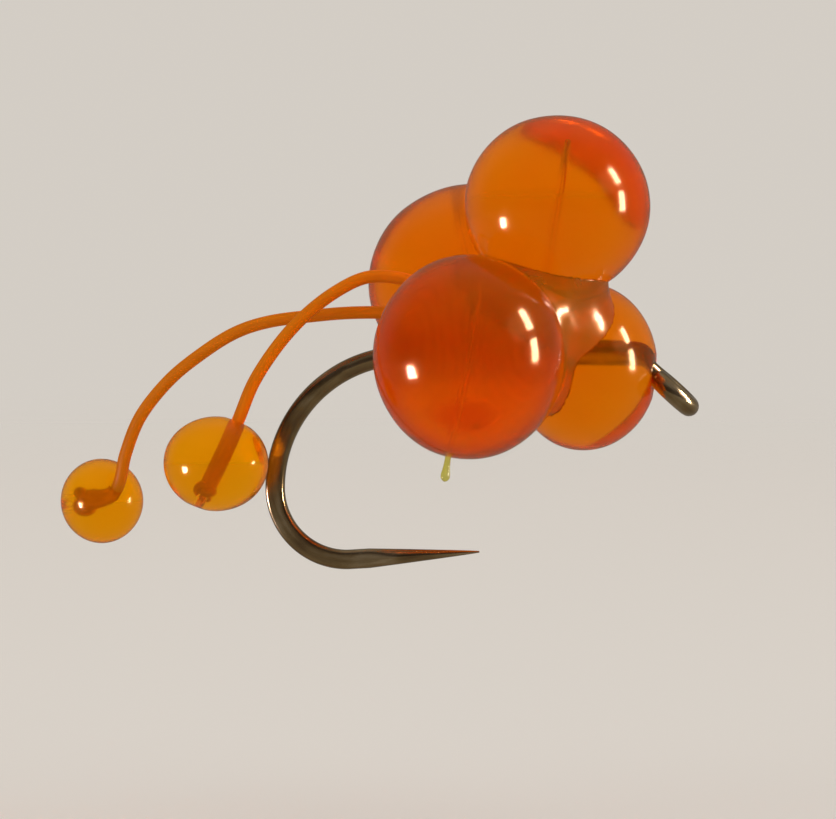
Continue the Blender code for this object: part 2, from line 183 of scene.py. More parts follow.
# Strands, from the tied end to the knot inside the small egg
STRAND_RADIUS = 0.22
STRAND_SIDES = 28
STRAND_ROUTES = {
    "near": [
        (-7.00, -0.24, 1.80), (-7.40, -0.24, 1.92), (-7.85, -0.26, 2.50), (-8.25, -0.28, 3.15),
        (-8.80, -0.31, 3.68), (-9.55, -0.35, 3.93), (-10.58, -0.45, 3.93), (-11.59, -0.65, 3.45),
        (-12.60, -0.90, 2.66), (-13.49, -1.20, 1.66), (-14.30, -1.52, 0.39), (-14.80, -1.85, -0.90),
        (-15.25, -2.10, -2.00), (-15.80, -2.34, -3.10),
    ],
    "far": [
        (-7.00, 0.24, 1.80), (-7.50, 0.24, 1.86), (-8.30, 0.26, 2.22), (-9.10, 0.28, 2.55),
        (-10.00, 0.30, 2.70), (-11.20, 0.31, 2.70), (-12.43, 0.32, 2.60), (-14.03, 0.36, 2.39),
        (-15.26, 0.40, 1.99), (-16.47, 0.45, 1.24), (-17.61, 0.50, 0.31), (-18.60, 0.55, -0.92),
        (-19.13, 0.58, -2.20), (-19.34, 0.66, -3.10), (-19.62, 1.02, -3.62), (-20.05, 1.55, -3.86),
        (-20.60, 2.20, -4.00),
    ],
}
# For each strand: the bodies in order, and the route point of the hinge between each and the next
STRAND_BODIES = {
    "near": ("cluster", "near_base", "near_tail"),
    "far": ("cluster", "far_base", "far_middle", "far_tail"),
}
STRAND_HINGES = {"near": (5, 9), "far": (4, 7, 10)}
STRAND_NODES = {
    "near": (("near_strand_root", "near_strand_base"), ("near_strand_tip",)),
    "far": (("far_strand_root", "far_strand_base"), ("far_strand_middle",), ("far_strand_tip",)),
}
STRAND_TUCK = 3  # steps by which a length runs on inside the next one
TUCKED_RADIUS = 0.93 * STRAND_RADIUS
STRAND_SHADED_IN_EGG = (-2.3, -1.5)  # from the strand's end, where the strand is painted darker as shade inside its small egg
KNOT_RADIUS = 0.33
KNOT_STRAND_RADIUS = 0.115
KNOT_STEPS = 120
KNOT_SIDES = 14
KNOT_BORE = 0.15  # what the hole in a small egg narrows to behind its knot

# Thread wrap: x, height of its centre, half height and half width
WRAP_SECTIONS = [
    (-9.30, 1.24, 0.45, 0.45), (-8.90, 1.34, 0.56, 0.54), (-8.40, 1.50, 0.72, 0.62),
    (-6.50, 1.50, 0.72, 0.62), (-6.10, 1.40, 0.62, 0.56), (-5.85, 1.30, 0.50, 0.48),
]
WRAP_SIDES = 40
WRAP_ROWS = 60
THREAD_RADIUS = 0.055
THREAD_PITCH = 1.95 * THREAD_RADIUS  # the windings lie a little into each other
THREAD_SIDES = 8
STEPS_PER_TURN = 28
LIGHT_PATCH_CENTRE = np.array((-6.25, -0.50, 1.74))  # centre of a round patch of painted light on the wrap

# Resin
RESIN_CENTRE = np.array((-4.75, -1.75, 2.95))
RESIN_HALF = np.array((2.75, 2.05, 2.15))
SKIRT_CENTRE = np.array((-4.45, -2.35, 0.75))  # where it runs down between the near and lower eggs
SKIRT_HALF = np.array((1.35, 1.75, 2.25))
RESIN_CORE_SHARE = 0.80  # the core from which the fillets grow, as a share of the half sizes
RESIN_REACH_SHARE = 1.12  # how far the fillets may grow
RESIN_FILLET = 1.3
RESIN_EDGE_FILLET = 0.6
SKIRT_FILLET = 0.5
RESIN_INSET = 0.05
RESIN_IN_EGG = 0.06  # how far the resin runs into an egg, so that no gap shows
RESIN_BOX = 1.3  # half sizes within which the resin's surface is looked for
SKIRT_BOX = 1.2
RESIN_CELL = 0.07

ROUTE_STEPS = 12
ROUNDED_END = np.radians((25.0, 48.0, 67.0, 82.0))  # where a rounded end has its rings


# ---------------------------------------------------------------- shapes


def unit(v):
    v = np.asarray(v, float)
    return v / np.linalg.norm(v, axis=-1, keepdims=True)


def smooth_route(points, steps=ROUTE_STEPS):
    """Points along a Catmull-Rom curve through the given ones."""
    p = np.array(points, float)
    p = np.vstack([2 * p[0] - p[1], p, 2 * p[-1] - p[-2]])
    t = (np.arange(steps) / steps)[:, None]
    spans = []
    for a, b, c, d in zip(p, p[1:], p[2:], p[3:]):
        bend = 2 * b + (c - a) * t + (2 * a - 5 * b + 4 * c - d) * t**2
        spans.append((bend + (3 * b - a - 3 * c + d) * t**3) / 2)
    return np.vstack(spans + [p[-2]])


def lengths_along(route):
    steps = np.linalg.norm(np.diff(route, axis=0), axis=1)
    return np.concatenate([[0.0], np.cumsum(steps)])


def resampled(route, count):
    """The route again, with its points evenly spaced."""
    along = lengths_along(route)
    wanted = np.linspace(0, along[-1], count)
    return np.stack([np.interp(wanted, along, route[:, k]) for k in range(3)], axis=1)


def tangents_of(route):
    return unit(np.gradient(route, axis=0))


def frames_along(route, first_side=None):
    """Tangent, side and up at each point, carried along the route without twisting."""
    tangents = tangents_of(route)
    side = first_side
    if side is None:
        side = np.cross(tangents[0], (0.0, 0.3, 1.0))
    sides = []
    for tangent in tangents:
        side = unit(side - tangent * np.dot(side, tangent))
        sides.append(side)
    sides = np.array(sides)
    return tangents, sides, np.cross(tangents, sides)


def grid_faces(rows, columns, close_rows=False):
    """Quads of a grid whose columns wrap round, and whose rows do too if asked."""
    i = np.arange(rows if close_rows else rows - 1)[:, None]
    j = np.arange(columns)[None, :]
    below = (i + 1) % rows
    right = (j + 1) % columns
    corners = [i * columns + j, i * columns + right, below * columns + right, below * columns + j]
    return [tuple(quad) for quad in np.stack(corners, axis=-1).reshape(-1, 4).tolist()]


def end_faces(rows, columns):
    """The two flat ends of a grid whose rows don't close."""
    last = (rows - 1) * columns
    return [tuple(range(columns)), tuple(range(last, last + columns))]


def angles_round(sides):
    return 2 * math.pi * np.arange(sides) / sides


def wire_places(along, angles):
    """For each point of a tube, its length along the wire and its place round it."""
    rows, columns = len(along), len(angles)
    return np.stack(
        [
            np.repeat(along[:, None], columns, axis=1),
            np.repeat(np.sin(angles)[None], rows, axis=0),
            np.repeat(np.cos(angles)[None], rows, axis=0),
        ],
        axis=-1,
    )


class Shape:
    """Points in millimetres, faces, and each point's place along and round its wire."""

    def __init__(self):
        self.points = np.zeros((0, 3))
        self.wire = np.zeros((0, 3))
        self.faces = []

    def add(self, points, faces, wire=None):
        start = len(self.points)
        self.points = np.vstack([self.points, points])
        self.wire = np.vstack([self.wire, np.zeros((len(points), 3)) if wire is None else wire])
        self.faces += [tuple(start + k for k in f) for f in faces]
        return self


def tube(route, radii, sides, first_side=None, rounded=(False, False)):
    """A closed tube. Its ends are flat, or rounded where asked."""
    tangents, across, up = frames_along(route, first_side)
    radii = np.broadcast_to(np.asarray(radii, float), len(route)).copy()
    rows = [np.array(route, float), across, up, radii]
    for end, wanted in ((0, rounded[0]), (-1, rounded[1])):
        if not wanted:
            continue
        outward = tangents[end] * (1 if end else -1)
        sines, cosines = np.sin(ROUNDED_END), np.cos(ROUNDED_END)
        extra = [
            rows[0][end] + outward * radii[end] * sines[:, None],
            np.repeat(across[end][None], len(sines), axis=0),
            np.repeat(up[end][None], len(sines), axis=0),
            radii[end] * cosines,
        ]
        if end:
            rows = [np.concatenate([row, more]) for row, more in zip(rows, extra)]
        else:
            rows = [np.concatenate([more[::-1], row]) for row, more in zip(rows, extra)]
    centres, across, up, radii = rows
    angles = angles_round(sides)
    ring = across[:, None] * np.sin(angles)[:, None] + up[:, None] * np.cos(angles)[:, None]
    points = centres[:, None] + ring * radii[:, None, None]
    faces = grid_faces(len(centres), sides) + end_faces(len(centres), sides)
    wire = wire_places(lengths_along(centres), angles)
    return Shape().add(points.reshape(-1, 3), faces, wire.reshape(-1, 3))


def wobble(points, centre, amount, scale, seed):
    """Points moved out from or in to the centre by smooth noise."""
    outward = unit(points - centre)
    moves = [noise.noise(Vector(p) / scale + Vector((seed, seed * 0.7, -seed))) for p in points]
    return points + outward * (amount * np.array(moves))[:, None]


def contact_planes(name):
    """Where an egg is pressed flat against its neighbours: a point and a direction for each."""
    centre, half = (np.array(a) for a in EGGS[name])
    planes = []
    for other, (other_centre, other_half) in EGGS.items():
        if other == name:
            continue
        toward = unit(np.array(other_centre) - centre)
        reach = np.linalg.norm(half * toward)
        other_reach = np.linalg.norm(np.array(other_half) * toward)
        overlap = reach + other_reach - np.linalg.norm(np.array(other_centre) - centre)
        if overlap > 0:
            planes.append((centre + toward * (reach - overlap / 2), toward))
    return planes


def pressed(points, planes):
    """Points kept behind the planes, with a rounded edge where a flat begins."""
    for point, toward in planes:
        beyond = (points - point) @ toward
        kept = (beyond - np.sqrt(beyond**2 + PRESS_ROUNDING**2)) / 2
        moves = np.where(beyond > -4 * PRESS_ROUNDING, kept - beyond, 0)
        points = points + moves[:, None] * toward
    return points


def egg_shape(centre, half, bore, bore_radii, planes=(), seed=0.0, sides=96, rows=64):
    """An egg with a hole through it that follows the bore's route, as one closed skin.

    Rows run from one rim of the hole over the outside to the other rim, then back through the hole.
    """
    centre, half = np.array(centre), np.array(half)
    route = resampled(bore, FINE_STEPS)
    inside = np.linalg.norm((route - centre) / half, axis=1) < 1.0
    first, last = np.flatnonzero(inside)[[0, -1]]
    route = resampled(route[first:last + 1], BORE_ROWS)
    bore_radii = np.atleast_1d(bore_radii)
    radii = np.interp(np.linspace(0, 1, BORE_ROWS), np.linspace(0, 1, len(bore_radii)), bore_radii)
    rim_a, rim_b = route[0], route[-1]
    pivot = (rim_a + rim_b) / 2
    axis = unit(rim_a - rim_b)
    side = unit(np.cross(axis, ACROSS_BORES))
    other = np.cross(axis, side)
    reach = np.linalg.norm(rim_a - rim_b) / 2
    angle_a, angle_b = math.atan2(radii[0], reach), math.atan2(radii[-1], reach)
    polar = np.concatenate([
        angle_a * RIM_RINGS,
        np.linspace(PLAIN_RINGS_FROM * angle_a, math.pi - PLAIN_RINGS_FROM * angle_b, rows),
        math.pi - angle_b * RIM_RINGS[::-1],
    ])
    around = angles_round(sides)
    ring = side * np.cos(around)[:, None] + other * np.sin(around)[:, None]
    ways = axis * np.cos(polar)[:, None, None] + ring[None] * np.sin(polar)[:, None, None]
    start, step = (pivot - centre) / half, ways / half
    a, b, c = (step**2).sum(-1), (step * start).sum(-1), (start**2).sum(-1) - 1
    outer = pivot + ways * ((-b + np.sqrt(b * b - a * c)) / a)[..., None]
    outer = wobble(outer.reshape(-1, 3), centre, EGG_WOBBLE, EGG_WOBBLE_SIZE, seed)
    for rim, way, radius in ((rim_a, axis, radii[0]), (rim_b, -axis, radii[-1])):
        offset = outer - rim
        height = offset @ way
        aside = np.linalg.norm(offset - height[:, None] * way, axis=1)
        near_rim = np.linalg.norm(offset, axis=1) < 6 * radius
        sink = RIM_DIP * radius * np.exp(-(((aside - radius) / (RIM_DIP_WIDTH * radius)) ** 2)) * near_rim
        outer = outer - sink[:, None] * way
    outer = pressed(outer, planes)
    tangents = tangents_of(route)
    sides_along = unit(side - tangents * (tangents @ side)[:, None])
    others = np.cross(-tangents, sides_along)
    rings = sides_along[:, None] * np.cos(around)[:, None] + others[:, None] * np.sin(around)[:, None]
    inner = (route[:, None] + radii[:, None, None] * rings)[2:-2]
    points = np.vstack([outer, inner[::-1].reshape(-1, 3)])
    count = len(polar) + len(inner)
    return Shape().add(points, grid_faces(count, sides, close_rows=True))


def surface_net(field, low, high, cell):
    """The closed surface where the field is zero, as points and quads.

    Every cell that the surface passes through gets one point, the mean of its edges' crossings.
    """
    axes = [np.arange(l, h + cell, cell) for l, h in zip(low, high)]
    grid = np.stack(np.meshgrid(*axes, indexing="ij"), axis=-1)
    values = field(grid.reshape(-1, 3)).reshape(grid.shape[:3])
    inside = values < 0
    cells = np.array(values.shape) - 1
    total = np.zeros((*cells, 3))
    hits = np.zeros(cells, int)
    crossings = []
    for axis in range(3):
        one = np.zeros(3, int)
        one[axis] = 1
        a = tuple(slice(0, n - o) for n, o in zip(values.shape, one))
        b = tuple(slice(o, n) for n, o in zip(values.shape, one))
        edges = np.argwhere(inside[a] != inside[b])
        others = [k for k in range(3) if k != axis]
        keep = np.all([(edges[:, k] > 0) & (edges[:, k] < cells[k]) for k in others], axis=0)
        edges = edges[keep]
        from_value = values[tuple(edges.T)]
        to_value = values[tuple((edges + one).T)]
        share = from_value / (from_value - to_value)
        point = np.array(low) + cell * (edges + share[:, None] * one)
        corners = []
        for da, db in ((1, 1), (0, 1), (0, 0), (1, 0)):
            shift = np.zeros(3, int)
            shift[others[0]], shift[others[1]] = da, db
            around = edges - shift
            np.add.at(total, tuple(around.T), point)
            np.add.at(hits, tuple(around.T), 1)
            corners.append(around)
        crossings.append(np.stack(corners, axis=1))
    number = np.full(cells, -1)
    used = hits > 0
    number[used] = np.arange(used.sum())
    points = total[used] / hits[used][:, None]
    quads = np.vstack(crossings)
    faces = number[tuple(quads.reshape(-1, 3).T)].reshape(-1, 4)
    return points, [tuple(f) for f in faces.tolist()]


def settled(points, field, cell, rounds=4):
    """Points moved on to the field's zero surface along its slope."""
    tiny = 0.01
    for _ in range(rounds):
        rises = [field(points + tiny * e) - field(points - tiny * e) for e in np.eye(3)]
        slope = np.stack(rises, axis=1) / (2 * tiny)
        move = field(points)[:, None] * slope / np.maximum((slope**2).sum(1), 0.2)[:, None]
        size = np.linalg.norm(move, axis=1, keepdims=True)
        points = points - move * np.minimum(1, 0.4 * cell / np.maximum(size, 1e-9))
    return points


def ball_field(points, centre, half):
    q = points - np.array(centre)
    half = np.array(half)
    k0 = np.linalg.norm(q / half, axis=-1)
    k1 = np.linalg.norm(q / half**2, axis=-1)
    return k0 * (k0 - 1) / np.maximum(k1, 1e-9)


def smooth_min(a, b, width):
    h = np.maximum(width - np.abs(a - b), 0) / width
    return np.minimum(a, b) - h * h * width / 4


def resin_field(points):
    """Negative inside the resin: fillets between the eggs round a core, less the eggs themselves."""
    eggs = []
    for name, (centre, half) in EGGS.items():
        egg = ball_field(points, centre, half)
        for point, toward in contact_planes(name):
            egg = np.maximum(egg, (points - point) @ toward)
        eggs.append(egg)
    whole = ball_field(points, RESIN_CENTRE, RESIN_HALF * RESIN_CORE_SHARE)
    for egg in eggs:
        whole = smooth_min(whole, egg, RESIN_FILLET)
    ball = ball_field(points, RESIN_CENTRE, RESIN_HALF * RESIN_REACH_SHARE)
    reach = smooth_min(ball, ball_field(points, SKIRT_CENTRE, SKIRT_HALF), SKIRT_FILLET)
    whole = -smooth_min(-(whole + RESIN_INSET), -reach, RESIN_EDGE_FILLET)
    return np.maximum(whole, -(np.min(eggs, axis=0) + RESIN_IN_EGG))


# ---------------------------------------------------------------- materials


WARM_SHINE = (1.0, 0.42, 0.05, 1.0)  # what orange plastic mirrors from within


class Nodes:
    """The node tree of a material or of the world, with short calls for what they need here."""

    def __init__(self, owner, shader="Principled BSDF"):
        owner.use_nodes = True
        self.owner = owner
        self.tree = owner.node_tree
        self.shader = self.tree.nodes[shader]

    def set(self, **sockets):
        for name, value in sockets.items():
            self.shader.inputs[name.replace("_", " ")].default_value = value

    def node(self, kind, inputs=None, **settings):
        made = self.tree.nodes.new(kind)
        for key, value in settings.items():
            setattr(made, key, value)
        for key, value in (inputs or {}).items():
            if isinstance(value, bpy.types.NodeSocket):
                self.tree.links.new(value, made.inputs[key])
            else:
                made.inputs[key].default_value = value
        return made

    def link(self, source, socket):
        self.tree.links.new(source, self.shader.inputs[socket])

    def place(self, wire=False):
        if wire:
            return self.node("ShaderNodeAttribute", attribute_name="wire").outputs["Vector"]
        return self.node("ShaderNodeTexCoord").outputs["Object"]

    def stretched(self, vector, scale):
        return self.node("ShaderNodeVectorMath", {0: vector, 1: scale}, operation="MULTIPLY").outputs[0]

    def noise(self, vector, scale, detail=3.0, roughness=0.55):
        inputs = {"Vector": vector, "Scale": scale, "Detail": detail, "Roughness": roughness}
        return self.node("ShaderNodeTexNoise", inputs).outputs["Fac"]

    def ramp(self, fac, stops):
        made = self.node("ShaderNodeValToRGB", {"Fac": fac})
        ramp = made.color_ramp
        while len(ramp.elements) < len(stops):
            ramp.elements.new(0.5)
        for element, (position, colour) in zip(ramp.elements, stops):
            element.position = position
            element.color = (*colour, 1.0)
        return made.outputs["Color"]

    def mixed(self, share, first, second):
        """The first colour, which gives way to the second as the share goes from 0 to 1."""
        made = self.node("ShaderNodeMix", {"Factor": share}, data_type="RGBA")
        colours = [socket for socket in made.inputs if socket.enabled and socket.name in "AB"]
        for socket, source in zip(colours, (first, second)):
            if isinstance(source, bpy.types.NodeSocket):
                self.tree.links.new(source, socket)
            else:
                socket.default_value = source
        return next(socket for socket in made.outputs if socket.enabled)

    def between(self, fac, low, high, span=(0.3, 0.7)):
        made = self.node(
            "ShaderNodeMapRange",
            {"Value": fac, "From Min": span[0], "From Max": span[1], "To Min": low, "To Max": high})
        return made.outputs["Result"]

    def bump(self, height, distance, strength, normal=None):
        inputs = {"Height": height, "Distance": distance * MM, "Strength": strength}
        if normal is not None:
            inputs["Normal"] = normal
        return self.node("ShaderNodeBump", inputs).outputs["Normal"]

    def absorb(self, colour, density):
        volume = self.node("ShaderNodeVolumeAbsorption", {"Color": (*colour, 1.0), "Density": density})
        self.tree.links.new(volume.outputs["Volume"], self.tree.nodes["Material Output"].inputs["Volume"])

    def rays(self):
        """The kinds of ray, and a share that is 1 only on a ray that a surface mirrors."""
        kinds = self.node("ShaderNodeLightPath").outputs
        inputs = {0: kinds["Is Glossy Ray"], 1: kinds["Is Transmission Ray"]}
        return kinds, self.node("ShaderNodeMath", inputs, operation="SUBTRACT").outputs[0]


def new_material(name):
    return Nodes(bpy.data.materials.new(name))


def soft_egg(name, thin, deep, loss):
    """Clear soft plastic, slightly cloudy. Its skin has two shades, and its tint grows with depth."""
    n = new_material(name)
    place = n.place()
    cloud = n.noise(place, 260.0, 2.0)
    n.link(n.ramp(cloud, [(0.35, deep), (0.65, thin)]), "Base Color")
    n.link(n.between(n.noise(place, 700.0, 3.0), 0.10, 0.17), "Roughness")
    n.link(n.between(n.noise(place, 330.0, 3.0), 0.94, 0.87), "Transmission Weight")
    skin = n.bump(n.noise(place, 420.0, 2.0), 0.03, 0.5)
    n.link(n.bump(n.noise(place, 3200.0, 3.0), 0.002, 0.35, skin), "Normal")
    n.set(IOR=1.45, Specular_IOR_Level=0.15, Specular_Tint=WARM_SHINE)
    n.set(Coat_Weight=0.09, Coat_Roughness=0.055, Coat_IOR=1.5)
    n.absorb(loss, 700.0)
    return n.owner


def resin_material():
    n = new_material("clear_resin_look")
    place = n.place()
    colour = n.ramp(n.noise(place, 420.0), [(0.3, (0.84, 0.28, 0.004)), (0.7, (0.92, 0.40, 0.006))])
    n.link(colour, "Base Color")
    n.link(n.between(n.noise(place, 900.0), 0.16, 0.28), "Roughness")
    n.link(n.bump(n.noise(place, 520.0, 2.0), 0.03, 0.5), "Normal")
    n.set(IOR=1.5, Transmission_Weight=0.75, Specular_IOR_Level=0.2, Specular_Tint=WARM_SHINE)
    n.set(Coat_Weight=0.25, Coat_Roughness=0.09, Coat_IOR=1.5)
    n.absorb((0.99, 0.72, 0.20), 200.0)
    return n.owner


def steel_material():
    n = new_material("bronzed_steel_look")
    wire = n.place(wire=True)
    streaks = n.noise(n.stretched(wire, (0.5, 1.2, 1.2)), 1.2, 3.0)
    patches = n.noise(n.place(), 500.0, 3.0)
    both = n.node("ShaderNodeMath", {0: streaks, 1: patches}, operation="ADD").outputs[0]
    colour = n.ramp(
        n.between(both, 0.0, 1.0, (0.7, 1.3)),
        [(0.0, (0.200, 0.120, 0.048)), (0.5, (0.390, 0.275, 0.125)), (1.0, (0.620, 0.500, 0.310))])
    n.link(colour, "Base Color")
    scratches = n.noise(n.stretched(wire, (1.5, 14.0, 14.0)), 3.0, 5.0, 0.7)
    n.link(n.between(scratches, 0.14, 0.26), "Roughness")
    n.link(n.bump(scratches, 0.002, 0.5), "Normal")
    n.set(Metallic=1.0, Coat_Weight=0.5, Coat_Roughness=0.06, Coat_IOR=1.5)
    return n.owner


def thread_material():
    """Fine waxed thread soaked with resin.

    It is dark over the wire at its rear end, with painted light below the wire and in a round patch on
    its front.
    """
    n = new_material("waxed_thread_look")
    wire = n.place(wire=True)
    fibres = n.noise(n.stretched(wire, (10.0, 6.0, 6.0)), 2.0, 4.0)
    split = n.node("ShaderNodeSeparateXYZ", {0: n.place()})
    along, height = split.outputs["X"], split.outputs["Z"]

    def tones(low, high):
        return n.ramp(fibres, [(0.3, low), (0.7, high)])

    def worked(kind, a, b=0.0):
        return n.node("ShaderNodeMath", {0: a, 1: b}, operation=kind).outputs[0]

    colour = tones((0.80, 0.36, 0.003), (0.94, 0.46, 0.006))
    off_wire = worked("ABSOLUTE", worked("SUBTRACT", height, SHANK_HEIGHT * MM))
    on_wire = n.between(off_wire, 1.0, 0.0, (0.20 * MM, 0.42 * MM))
    rear_end = n.between(along, 1.0, 0.0, (-8.1 * MM, -7.3 * MM))
    dark = tones((0.40, 0.085, 0.008), (0.50, 0.12, 0.012))
    colour = n.mixed(worked("MULTIPLY", on_wire, rear_end), colour, dark)
    # Painted light: below the wire the thread is painted lighter, standing for light that shines through
    # it
    painted_light_below_wire = n.between(height, 1.0, 0.0, (0.86 * MM, 1.02 * MM))
    colour = n.mixed(painted_light_below_wire, colour, tones((1.0, 0.50, 0.03), (1.0, 0.62, 0.05)))
    # Painted light: a round lighter patch on the wrap's front, brightest at its centre
    drop = n.node("ShaderNodeVectorMath", {0: n.place(), 1: LIGHT_PATCH_CENTRE * MM}, operation="DISTANCE")
    painted_light_patch = n.between(drop.outputs["Value"], 0.75, 0.0, (0.15 * MM, 0.48 * MM))
    colour = n.mixed(painted_light_patch, colour, tones((1.0, 0.52, 0.06), (1.0, 0.64, 0.09)))
    n.link(colour, "Base Color")
    n.link(n.between(fibres, 0.45, 0.65), "Roughness")
    n.link(n.bump(fibres, 0.006, 0.6), "Normal")
    n.set(Specular_IOR_Level=0.2, Sheen_Weight=0.05, Sheen_Roughness=0.4)
    return n.owner


def elastic_material():
    n = new_material("orange_elastic_look")
    wire = n.place(wire=True)
    streaks = n.noise(n.stretched(wire, (0.9, 3.0, 3.0)), 1.0, 3.0)
    bright = n.ramp(streaks, [(0.25, (0.60, 0.145, 0.001)), (0.75, (0.70, 0.19, 0.001))])
    # Painted shade: the strand is darker and duller where it lies inside its small egg
    painted_shade_tones = n.ramp(streaks, [(0.25, (0.40, 0.16, 0.002)), (0.75, (0.52, 0.21, 0.004))])
    inside = n.between(n.node("ShaderNodeSeparateXYZ", {0: wire}).outputs["X"], 0.0, 1.0, STRAND_SHADED_IN_EGG)
    n.link(n.mixed(inside, bright, painted_shade_tones), "Base Color")
    n.link(n.between(streaks, 0.38, 0.55), "Roughness")
    fine = n.noise(n.stretched(wire, (1.0, 3.0, 3.0)), 1.7, 2.0)
    n.link(n.bump(fine, 0.004, 0.3), "Normal")
    n.set(IOR=1.25, Specular_IOR_Level=0.15)
    return n.owner


def knot_material():
    """The strand's end tied in a knot, painted dark as shade inside its small egg."""
    n = new_material("knot_painted_shade_look")
    streaks = n.noise(n.stretched(n.place(wire=True), (2.0, 3.0, 3.0)), 1.5, 3.0)
    # Painted shade: the knot takes the strand's darker tones from inside its small egg
    n.link(n.ramp(streaks, [(0.3, (0.38, 0.15, 0.004)), (0.7, (0.50, 0.20, 0.006))]), "Base Color")
    n.link(n.between(streaks, 0.4, 0.6), "Roughness")
    n.link(n.bump(streaks, 0.01, 0.4), "Normal")
    n.set(Specular_IOR_Level=0.15)
    return n.owner


def mono_material():
    """Olive line where it is bare, and almost lost from sight where an egg closes on it."""
    n = new_material("olive_monofilament_look")
    wire = n.place(wire=True)
    split = n.node("ShaderNodeSeparateXYZ", {0: wire})
    bare = n.between(split.outputs["X"], 1.0, 0.0, BARE_STALK)
    streaks = n.noise(n.stretched(wire, (1.0, 3.0, 3.0)), 1.5)
    olive = n.ramp(streaks, [(0.3, (0.52, 0.50, 0.07)), (0.7, (0.80, 0.76, 0.20))])
    n.link(n.mixed(bare, (0.985, 0.90, 0.72, 1.0), olive), "Base Color")
    n.link(n.between(streaks, 0.06, 0.16), "Roughness")
    n.link(n.bump(streaks, 0.01, 0.4), "Normal")
    n.link(n.between(bare, 1.0, 0.8, (0.0, 1.0)), "Transmission Weight")
    n.link(n.between(bare, 0.0, 1.0, (0.0, 1.0)), "Coat Weight")
    n.set(IOR=1.03, Specular_IOR_Level=0.5, Coat_Roughness=0.05, Coat_IOR=1.5)
    return n.owner


# ---------------------------------------------------------------- pieces


def add_piece(name, shape, material, nodes, body=None, sharp=50.0):
    """An object made from a shape, standing for the CAD nodes. It rides on the body, if one is given."""
    mesh = bpy.data.meshes.new(name)
    mesh.from_pydata((shape.points * MM).tolist(), [], shape.faces)
    mesh.validate()
    attribute = mesh.attributes.new("wire", "FLOAT_VECTOR", "POINT")
    attribute.data.foreach_set("vector", shape.wire.astype(np.float32).ravel())
    mesh.materials.append(material)
    piece = bpy.data.objects.new(name, mesh)
    bpy.context.scene.collection.objects.link(piece)
    turn_outward(mesh)
    mesh.shade_smooth()
    mesh.set_sharp_from_angle(angle=math.radians(sharp))
    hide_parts(*nodes)
    if body is not None:
        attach(piece, body)
    return piece


def turn_outward(mesh):
    """Faces of a consistently wound closed mesh, flipped if it is inside out."""
    bm = bmesh.new()
    bm.from_mesh(mesh)
    bmesh.ops.recalc_face_normals(bm, faces=bm.faces)
    if bm.calc_volume(signed=True) < 0:
        bmesh.ops.reverse_faces(bm, faces=bm.faces)
    bm.to_mesh(mesh)
    bm.free()


